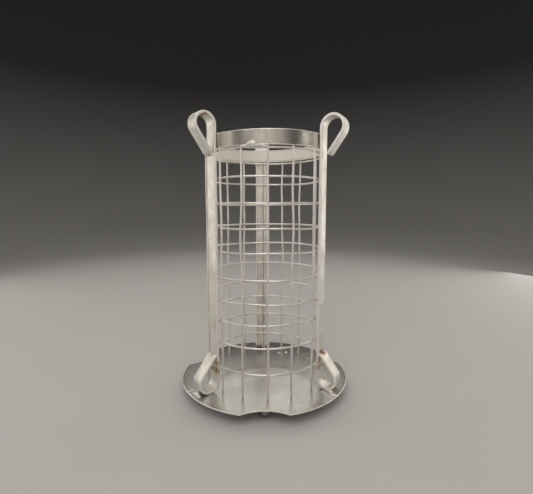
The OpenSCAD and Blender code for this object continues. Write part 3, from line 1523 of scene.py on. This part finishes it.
@dataclass
class Weld:
    """Weld metal: blobs run together, then roughened.

    Attributes:
        name: the piece's name.
        origin: a point on the joint.
        azimuth: which way "out" points.
        blobs: its masses, in millimetres.
        ripple: how far its surface wanders, in millimetres.
        grain: size of the ripples, in millimetres.
        seed: picks its ripples.
        floor: height that it lies flat on, if any.
        wall: radius of the round wall that it lies against from outside, if any.
        voxel: how finely its blobs are fused.
    """

    name: str
    origin: Vector
    azimuth: float
    blobs: tuple[Blob, ...]
    ripple: float = 0.12
    grain: float = 0.8
    seed: int = 1
    floor: float | None = None
    wall: float | None = None
    voxel: float = 0.16 * MM

    def mesh(self, heat_and_shade: HeatMap) -> bpy.types.Mesh:
        """Fuses the blobs into one skin.

        Args:
            heat_and_shade: where the metal was welded, and where painted shade falls.

        Returns:
            The mesh.
        """
        turn = Matrix.Rotation(math.radians(self.azimuth - 90), 4, "Z")
        shapes = []
        for blob in self.blobs:
            move = Matrix.Translation(Vector(blob.at) * MM)
            shape = Matrix.Diagonal((*(s * MM for s in blob.size), 1))
            shapes.append(Matrix.Translation(self.origin) @ turn @ move @ shape)
        mesh = self._fused(lumps(f"{self.name}_blobs", shapes, 4))
        for vertex in mesh.vertices:
            place = vertex.co / (self.grain * MM) + Vector((self.seed, 0, 0))
            vertex.co += vertex.normal * noise.fractal(place, 0.9, 2.1, 4) * self.ripple * MM
        for vertex in mesh.vertices:
            if self.floor is not None:
                vertex.co.z = max(vertex.co.z, self.floor)
            flat = Vector((vertex.co.x, vertex.co.y))
            if self.wall is not None and flat.length < self.wall:
                flat = flat.normalized() * self.wall
                vertex.co.x, vertex.co.y = flat
        stamp_plain(mesh, heat_and_shade)
        return mesh

    def _fused(self, rough: bpy.types.Mesh) -> bpy.types.Mesh:
        """Runs overlapping shells together and smooths the joins.

        Args:
            rough: the blobs, as loose shells.

        Returns:
            One skin.
        """
        holder = bpy.data.objects.new(rough.name, rough)
        bpy.context.scene.collection.objects.link(holder)
        remesh = holder.modifiers.new("fuse", "REMESH")
        remesh.mode = "VOXEL"
        remesh.voxel_size = self.voxel
        relax = holder.modifiers.new("relax", "SMOOTH")
        relax.factor, relax.iterations = 0.6, 5
        shown = holder.evaluated_get(bpy.context.evaluated_depsgraph_get())
        mesh = bpy.data.meshes.new_from_object(shown)
        mesh.name = self.name
        bpy.data.objects.remove(holder)
        bpy.data.meshes.remove(rough)
        return mesh


@dataclass
class Welds:
    """Every weld on the rack, grouped as the CAD groups them.

    Attributes:
        plate: the base plate.
        band: the top band.
        legs: the three legs.
        lump_azimuth: where the band is tied to the mesh in front.
    """

    plate: BasePlate
    band: TopBand
    legs: list[Leg]
    lump_azimuth: float = -10.4

    def groups(self) -> dict[str, list[Weld]]:
        """Lists the welds by the CAD node that they stand for.

        Returns:
            The welds of each node.
        """
        return {
            "band_weld": [self._band_lump()],
            "handle_welds": [self._tip(leg, True) for leg in (self.legs[0], self.legs[2])],
            "foot_tip_welds": [self._tip(leg, False) for leg in self.legs],
            "foot_welds": self._foot_lumps(),
            "mesh_tacks": self._tacks(),
            "ball_foot_welds": self._collars(),
        }

    def _tacks(self) -> list[Weld]:
        """The tacks between the mesh and the rear leg, one to each solid of the CAD node."""
        points = sorted((v.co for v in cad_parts["mesh_tacks"].data.vertices), key=lambda p: p.z)
        clusters: list[list[Vector]] = [[points[0]]]
        for before, point in zip(points, points[1:]):
            if point.z - before.z > 5 * MM:
                clusters.append([])
            clusters[-1].append(point)
        tacks = []
        for i, cluster in enumerate(clusters):
            low = Vector(min(p[k] for p in cluster) for k in range(3))
            high = Vector(max(p[k] for p in cluster) for k in range(3))
            middle = (low + high) / 2
            blobs = (Blob((0, 0, 0), (0.75, 1.0, 0.8)), Blob((-0.2, 0.5, -0.5), (0.6, 0.7, 0.5)))
            azimuth = azimuth_of(middle)
            tacks.append(Weld(f"mesh_tack_{i + 1}", middle, azimuth, blobs, seed=60 + i))
        for leg, turn in ((self.legs[0], 4.5), (self.legs[1], -4.5)):
            for number in (3, 6, 9, 10):
                low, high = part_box(f"hoop_wire_{number:02d}")
                point = polar((high.x + leg.inner) / 2, leg.azimuth + turn, (low.z + high.z) / 2)
                side = math.copysign(1, turn)
                blobs = (
                    Blob((0.1, 0, 0), (0.85, 0.7, 0.6)),
                    Blob((0.3, 0.9 * side, 0.45), (0.5, 0.9, 0.35)),
                    Blob((0.0, -0.8 * side, -0.25), (0.6, 0.7, 0.4)),
                )
                name = f"hoop_tack_{leg.node}_{number:02d}"
                tacks.append(Weld(name, point, leg.azimuth + turn, blobs, seed=number))
        return tacks

    def _collars(self) -> list[Weld]:
        """The bead round the top of each ball, against the plate's underside."""
        collars = []
        beads = 11
        ring = 1.75
        for i, name in enumerate(BALL_NODES):
            low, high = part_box(name)
            middle = (low + high) / 2
            top = Vector((middle.x, middle.y, high.z - 0.35 * MM))
            turns = [2 * math.pi * k / beads for k in range(beads)]
            blobs = tuple(
                Blob((ring * math.cos(t), ring * math.sin(t), 0), (0.62, 0.62, 0.32)) for t in turns
            )
            azimuth = azimuth_of(middle)
            collars.append(
                Weld(f"ball_collar_{i + 1}", top, azimuth, blobs, ripple=0.08, seed=80 + i)
            )
        return collars

    def _band_lump(self) -> Weld:
        """The heaped lump under the band's front edge, with its runs to either side."""
        height = self.band.under(self.lump_azimuth)
        return Weld(
            "band_lump",
            polar(self.band.outer, self.lump_azimuth, height),
            self.lump_azimuth,
            (
                Blob((0.6, -0.1, 0.1), (2.0, 2.8, 1.5)),
                Blob((0.5, 0.1, 1.0), (1.5, 1.6, 1.1)),
                Blob((0.4, -2.6, -0.6), (1.2, 1.5, 0.85)),
                Blob((0.4, -4.2, -0.6), (0.9, 1.2, 0.65)),
                Blob((0.5, 0.6, -1.1), (1.3, 1.7, 0.8)),
                Blob((0.4, -1.3, -1.2), (1.0, 1.1, 0.7)),
                Blob((0.6, 2.6, -0.35), (0.9, 1.3, 0.65)),
                Blob((0.65, 4.3, -0.3), (0.75, 1.6, 0.6)),
                Blob((0.6, 6.0, -0.2), (0.6, 1.2, 0.5)),
            ),
            ripple=0.24,
            grain=0.6,
            seed=3,
            wall=self.band.outer - 0.9 * MM,
        )

    def _tip(self, leg: Leg, above: bool) -> Weld:
        """The bead between a loop's end and its leg.

        Args:
            leg: the leg.
            above: true for the handle, false for the foot.

        Returns:
            The bead.
        """
        point = leg.handle_tip() if above else leg.foot_tip()
        side = -0.35 if above else 0.35
        blobs = tuple(
            Blob((-0.05, 1.25 * i, side + 0.12 * (i % 2)), (0.75, 0.95, 0.72)) for i in range(-2, 3)
        )
        label = "handle_bead" if above else "foot_bead"
        name = f"{label}_{leg.node}"
        return Weld(name, point, leg.azimuth, blobs, ripple=0.1, seed=leg.seed)

    def _foot_lumps(self) -> list[Weld]:
        """The lumps that hold the foot loops to the plate."""
        left, right, rear = self.legs
        runs = (
            (
                left, 11.6, -0.4,
                ((0, 0, 0.3), (1.3, 2.2, 1.1)),
                ((0.5, -1.9, 0.1), (1.0, 1.2, 0.7)),
                ((0.3, 2.6, 0.0), (0.9, 1.5, 0.7)),
            ),
            (left, 12.2, -6.1, ((0, 0, 0), (1.7, 0.55, 0.45)), ((-1.5, 0.4, 0.1), (0.7, 0.6, 0.55))),
            (
                right, 8.8, -4.6,
                ((0, 0, 0.3), (1.5, 1.0, 1.0)),
                ((-1.7, 1.0, 0.3), (1.2, 0.8, 0.8)),
                ((2.2, -1.5, 0.0), (1.8, 0.8, 0.5)),
            ),
            (right, 2.6, 3.9, ((0, 0, 3.7), (1.1, 0.8, 1.0)), ((0.2, 0.3, 1.8), (0.8, 0.7, 2.0))),
            (rear, 9.6, -4.5, ((0, 0, 0.3), (1.6, 1.2, 1.0)), ((0.9, -0.5, 0.2), (1.0, 0.9, 0.7))),
        )
        return [
            Weld(
                f"foot_lump_{i}",
                leg.place(out * MM, 0, across * MM),
                leg.azimuth,
                tuple(Blob(at, size) for at, size in blobs),
                ripple=0.2,
                seed=20 + i,
                floor=self.plate.top,
            )
            for i, (leg, out, across, *blobs) in enumerate(runs)
        ]

    def warm(self, heat_and_shade: HeatMap) -> None:
        """Notes the heat that each weld left, and the painted shade inside the leg loops."""
        left, right, rear = self.legs
        front = self.band.under(0)
        for place, reach, strength in (
            (left.handle_tip(), 2.0, 0.6),
            (rear.handle_tip(), 2.0, 0.5),
            (left.foot_tip(), 2.2, 0.5),
            (right.foot_tip(), 2.8, 0.72),
            (rear.foot_tip(), 2.2, 0.45),
            (polar(self.band.outer, self.lump_azimuth - 1.8, front + 3.4 * MM), 1.3, 0.3),
            (polar(self.band.outer, self.lump_azimuth, front), 2.6, 0.22),
        ):
            heat_and_shade.add(place, reach * MM, strength)
        # Painted shade, carried as heat tint: the tint ramp darkens the underside of each handle
        # loop's crown, which faces down, and the leg's outer face inside each foot loop.
        for leg, inside, crown in ((left, 0.55, 2.1), (right, 0.5, 2.1), (rear, 0.3, 1.7)):
            under_crown = leg.top - leg.bottom - leg.handle.head + 2.2 * MM
            for across in (-2.4 * MM, 0.0, 2.4 * MM):
                heat_and_shade.add(leg.place(leg.handle.head, under_crown, across), 2.1 * MM, crown)
                for rise in (11.5 * MM, 15.5 * MM):
                    heat_and_shade.add(leg.place(1.0 * MM, rise, across), 2.4 * MM, inside)
        for weld in self._foot_lumps():
            heat_and_shade.add(weld.origin, 2.2 * MM, 0.22)

    def build(self, shop: Workshop) -> None:
        """Lays every weld.

        Args:
            shop: finishes and heat.
        """
        for node, welds in self.groups().items():
            for i, weld in enumerate(welds):
                piece = show(weld.name, weld.mesh(shop.heat_and_shade))
                shop.finish(piece, Slot.WELD, *([node] if i == 0 else []))


# Ball feet and spatter ----------------------------------------------------------------------


class BallFeet:
    """The three polished steel balls that the rack stands on."""

    def build(self, shop: Workshop) -> None:
        """Places the balls.

        Args:
            shop: finishes and heat.
        """
        for node in BALL_NODES:
            low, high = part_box(node)
            place = Matrix.Translation((low + high) / 2)
            mesh = lumps(f"{node}_polished", [place @ Matrix.Scale((high.z - low.z) / 2, 4)], 5)
            stamp_plain(mesh, shop.heat_and_shade)
            shop.finish(show(f"{node}_polished", mesh), Slot.BALL, node)


@dataclass
class Spatter:
    """Small drops of weld metal stuck to the plate round the welds and at its rear.

    Attributes:
        plate: the base plate.
        legs: the legs, whose feet were welded.
        marks: larger flat drops, as x, y and half-length in millimetres.
        drops: small drops round each foot.
        seed: picks their places.
    """

    plate: BasePlate
    legs: list[Leg]
    marks: tuple[tuple[float, float, float], ...] = (
        (9.4, 28.1, 1.1),
        (14.2, 28.8, 1.0),
        (27.8, 18.4, 0.7),
    )
    drops: int = 16
    seed: int = 12

    def places(self) -> list[tuple[Vector, float]]:
        """Where the drops lie.

        Returns:
            Each drop's point on the plate and its half-length.
        """
        draw = random.Random(self.seed)
        found = [(Vector((x * MM, y * MM, self.plate.top)), size * MM) for x, y, size in self.marks]
        hubs = [leg.place(9 * MM, 0) for leg in self.legs]
        hubs += [found[2][0] + Vector((-2 * MM, 2 * MM, 0))]
        for hub in hubs:
            for _ in range(self.drops):
                reach = draw.uniform(3, 10) * MM
                turn = draw.uniform(0, 2 * math.pi)
                point = hub + Vector((math.cos(turn), math.sin(turn), 0)) * reach
                size = draw.uniform(0.12, 0.34) * MM
                from_centre = Vector((point.x - self.plate.centre_x, point.y, 0))
                if from_centre.length < self.plate.rim(azimuth_of(from_centre)) - MM:
                    found.append((Vector((point.x, point.y, self.plate.top)), size))
        return found

    def build(self, shop: Workshop) -> None:
        """Drops the metal.

        Args:
            shop: finishes and heat.
        """
        draw = random.Random(self.seed + 1)
        shapes = []
        for point, size in self.places():
            turn = Matrix.Rotation(draw.uniform(0, math.pi), 4, "Z")
            shape = Matrix.Diagonal((size, size * draw.uniform(0.5, 0.9), size * 0.55, 1))
            shapes.append(Matrix.Translation(point) @ turn @ shape)
        mesh = lumps("weld_spatter", shapes, 3)
        for vertex in mesh.vertices:
            vertex.co.z = max(vertex.co.z, self.plate.top - 0.02 * MM)
        stamp_plain(mesh, shop.heat_and_shade)
        shop.finish(show("weld_spatter", mesh), Slot.WELD)


# Studio -------------------------------------------------------------------------------------


@dataclass(frozen=True)
class Softbox:
    """A soft light.

    Attributes:
        name: its name.
        azimuth: which side of the object it stands on.
        elevation: its height as an angle.
        distance: how far away it stands.
        size: width and height.
        power: in watts.
        colour: its colour.
    """

    name: str
    azimuth: float
    elevation: float
    distance: float
    size: tuple[float, float]
    power: float
    colour: Colour = (1.0, 0.965, 0.91)

    def hang(self, target: Vector) -> None:
        """Puts the light up.

        Args:
            target: what it points at.
        """
        light = bpy.data.lights.new(self.name, "AREA")
        light.shape = "RECTANGLE"
        light.size, light.size_y = self.size
        light.energy = self.power
        light.color = self.colour
        lamp = bpy.data.objects.new(self.name, light)
        flat = self.distance * math.cos(math.radians(self.elevation))
        rise = self.distance * math.sin(math.radians(self.elevation))
        lamp.location = target + polar(flat, self.azimuth, rise)
        lamp.visible_camera = False
        lamp.rotation_mode = "QUATERNION"
        lamp.rotation_quaternion = (target - lamp.location).to_track_quat("-Z", "Y")
        bpy.context.scene.collection.objects.link(lamp)


@dataclass
class Studio:
    """A plain pale floor that rises into a grey wall all round, soft lights and the camera.

    Attributes:
        pale: the floor's colour.
        grey: the wall's colour, high up.
        floor_radius: how far the floor is flat.
        sweep: radius of the curve from floor to wall.
        wall_height: the wall's height.
        camera_back: how far the camera stands in front of the cage's axis.
        camera_up: its height over the floor.
        camera_tilt: how far it looks down, in degrees.
        lens: its focal length on a 36 mm sensor.
        shift: its sideways and upward shift.
    """

    pale: Colour = (0.52, 0.51, 0.495)
    grey: Colour = (0.07, 0.07, 0.072)
    floor_radius: float = 0.75
    sweep: float = 0.45
    wall_height: float = 1.9
    camera_back: float = 209.2 * MM
    camera_up: float = 104.5 * MM
    camera_tilt: float = 6.53
    lens: float = 24.41
    shift: tuple[float, float] = (0.0024, 0.0068)

    def build(self) -> None:
        """Sets up everything round the object."""
        self._floor()
        self._lights()
        self._world()
        self._camera()

    def _floor(self) -> None:
        """Lays the floor just under the feet and carries it up into the wall."""
        profile = [(self.floor_radius * i / 6, 0.0) for i in range(1, 7)]
        for i in range(1, 13):
            t = math.radians(90 * i / 12)
            out = self.floor_radius + self.sweep * math.sin(t)
            profile.append((out, self.sweep * (1 - math.cos(t))))
        profile.append((profile[-1][0], self.wall_height))
        sides = 96
        points = [Vector((0, 0, 0))]
        faces = []
        for radius, height in profile:
            points += [polar(radius, 360 * k / sides, height) for k in range(sides)]
        for k in range(sides):
            after = (k + 1) % sides
            faces.append((0, 1 + k, 1 + after))
            for i in range(len(profile) - 1):
                low, high = 1 + i * sides, 1 + (i + 1) * sides
                faces.append((low + k, high + k, high + after, low + after))
        mesh = bpy.data.meshes.new("floor")
        mesh.from_pydata(points, [], faces)
        mesh.shade_smooth()
        floor = bpy.data.objects.new("floor", mesh)
        floor.location.z = -0.02 * MM
        bpy.context.scene.collection.objects.link(floor)
        mesh.materials.append(self._paper())
        floor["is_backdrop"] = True

    def _paper(self) -> bpy.types.Material:
        """Matt backdrop paper, pale on the floor and grey up the wall.

        Returns:
            The material.
        """
        material = bpy.data.materials.new("backdrop_paper")
        material.use_nodes = True
        sheet = Sheet(material.node_tree)
        shader = material.node_tree.nodes["Principled BSDF"]
        shader.inputs["Roughness"].default_value = 0.8
        place = sheet.node("ShaderNodeTexCoord")
        parts = sheet.node("ShaderNodeSeparateXYZ")
        sheet.join(place.outputs["Object"], parts.inputs[0])
        share = sheet.spread(parts.outputs[2], 0.0, 0.55, (0.0, 1.0))
        sheet.join(sheet.blend(share, self.pale, self.grey), shader.inputs["Base Color"])
        return material

    def _lights(self) -> None:
        """Hangs the soft lights round the object."""
        low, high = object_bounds()
        target = (low + high) / 2
        for box in (
            Softbox("left_box", -104, 14, 0.5, (0.34, 0.4), 0.52),
            Softbox("right_box", 116, 14, 0.5, (0.34, 0.4), 0.58),
            Softbox("left_strip", -66, 10, 0.5, (0.07, 0.4), 0.22),
            Softbox("right_strip", 76, 10, 0.5, (0.07, 0.4), 0.22),
            Softbox("front_wash", 0, 14, 0.6, (0.8, 0.3), 0.6),
            Softbox("front_top_box", -8, 44, 0.6, (0.6, 0.3), 1.35, (1.0, 0.95, 0.925)),
            Softbox("top_box", 8, 76, 0.6, (0.5, 0.5), 0.8),
            Softbox("back_wash", 180, 33, 0.75, (0.34, 0.34), 0.5),
            Softbox("rear_left_box", -146, 40, 0.7, (0.3, 0.4), 0.45),
            Softbox("rear_right_box", 146, 40, 0.7, (0.3, 0.4), 0.45),
        ):
            box.hang(target)

    def _world(self) -> None:
        """Fills the studio with a dim even grey."""
        world = bpy.data.worlds.new("studio")
        world.use_nodes = True
        bpy.context.scene.world = world
        back = world.node_tree.nodes["Background"]
        back.inputs["Color"].default_value = (0.5, 0.49, 0.47, 1)
        back.inputs["Strength"].default_value = 0.35
        bpy.context.scene.view_settings.view_transform = "Standard"

    def _camera(self) -> None:
        """Stands the camera in front, looking slightly down."""
        data = bpy.data.cameras.new("camera")
        data.sensor_width = 36
        data.lens = self.lens
        data.shift_x, data.shift_y = self.shift
        data.clip_start, data.clip_end = 0.01, 20
        camera = bpy.data.objects.new("camera", data)
        camera.location = (0, -self.camera_back, self.camera_up)
        camera.rotation_euler = (math.radians(90 - self.camera_tilt), 0, 0)
        bpy.context.scene.collection.objects.link(camera)
        bpy.context.scene.camera = camera


def main() -> None:
    """Builds the rack's looks, piece by piece."""
    logging.basicConfig(level=logging.INFO, format="%(name)s %(message)s")
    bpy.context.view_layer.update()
    shop = Workshop()

    bar = BarSection(width=7.4 * MM, thickness=1.4 * MM)
    handle_lean, foot_lean, foot_gap = 35, 37, 0.4
    bends = (
        ("front_left_leg", 5.95, 0.3, 6.0),
        ("front_right_leg", 6.5, 2.2, 5.8),
        ("rear_leg", 6.2, 0.3, 5.9),
    )
    legs = []
    for i, (node, head, handle_gap, foot) in enumerate(bends):
        above = Loop(head * MM, handle_lean, handle_gap * MM)
        below = Loop(foot * MM, foot_lean, foot_gap * MM)
        legs.append(Leg(node, above, below, bar, i + 1))
    band = TopBand(bar)
    plate = BasePlate()
    cage = MeshCage()
    welds = Welds(plate, band, legs)

    cage.warm(shop.heat_and_shade)
    welds.warm(shop.heat_and_shade)
    shop.heat_and_shade.settle()

    plate.build(shop)
    band.build(shop)
    for leg in legs:
        leg.build(shop)
    cage.build(shop)
    welds.build(shop)
    Spatter(plate, legs).build(shop)
    BallFeet().build(shop)

    Studio().build()


if __name__ == "__main__":
    main()
